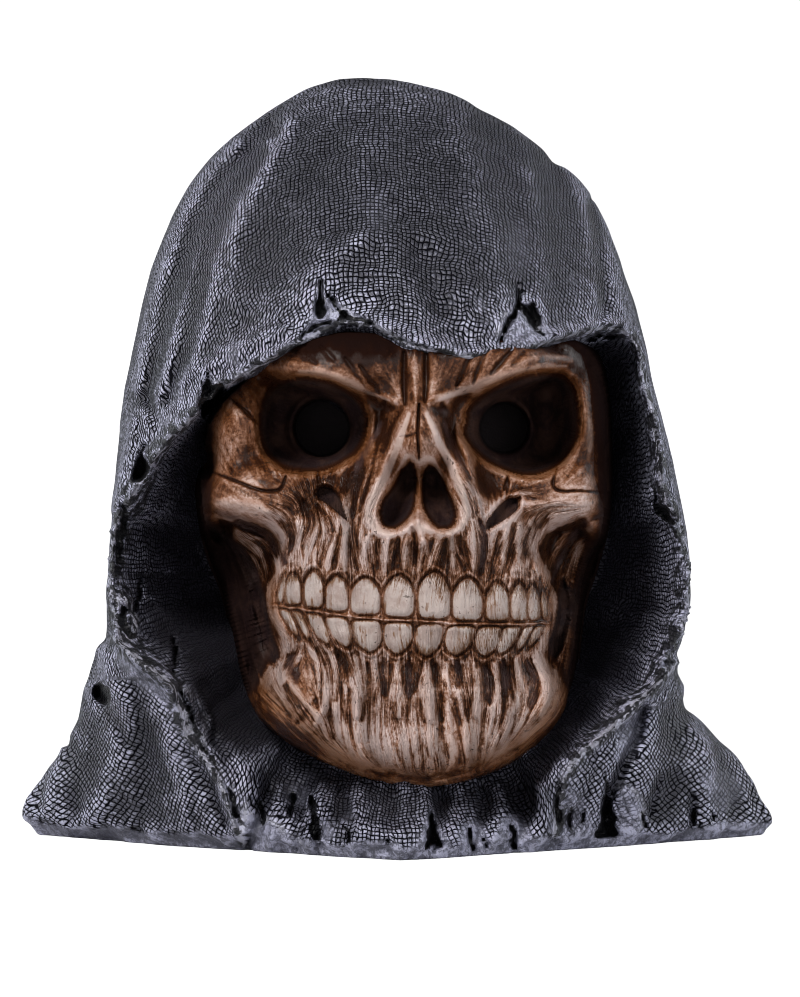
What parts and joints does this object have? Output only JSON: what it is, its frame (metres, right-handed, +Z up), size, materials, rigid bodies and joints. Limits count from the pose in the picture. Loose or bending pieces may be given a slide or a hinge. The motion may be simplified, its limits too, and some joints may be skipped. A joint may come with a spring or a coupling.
{
  "type": "hooded skull bust",
  "caption": "Tabletop bust cast in painted resin: a bare skull looks out of a tattered gauze cowl that spreads into a flat-bottomed shoulder cape.",
  "frame": {"origin": "on the surface it stands on, at the centre of the bounding box", "axes": "+Z up; -Y to the front, where the skull looks; +X to the skull's left, which is the viewer's right"},
  "size_m": [0.1798, 0.1384, 0.181],
  "materials": {
    "painted_resin": "matt charcoal paint dry-brushed pale grey on the cloth; ivory with a brown wash on the skull"
  },
  "bodies": {
    "root": {"hooded_skull": "painted_resin"}
  },
  "joints": []
}
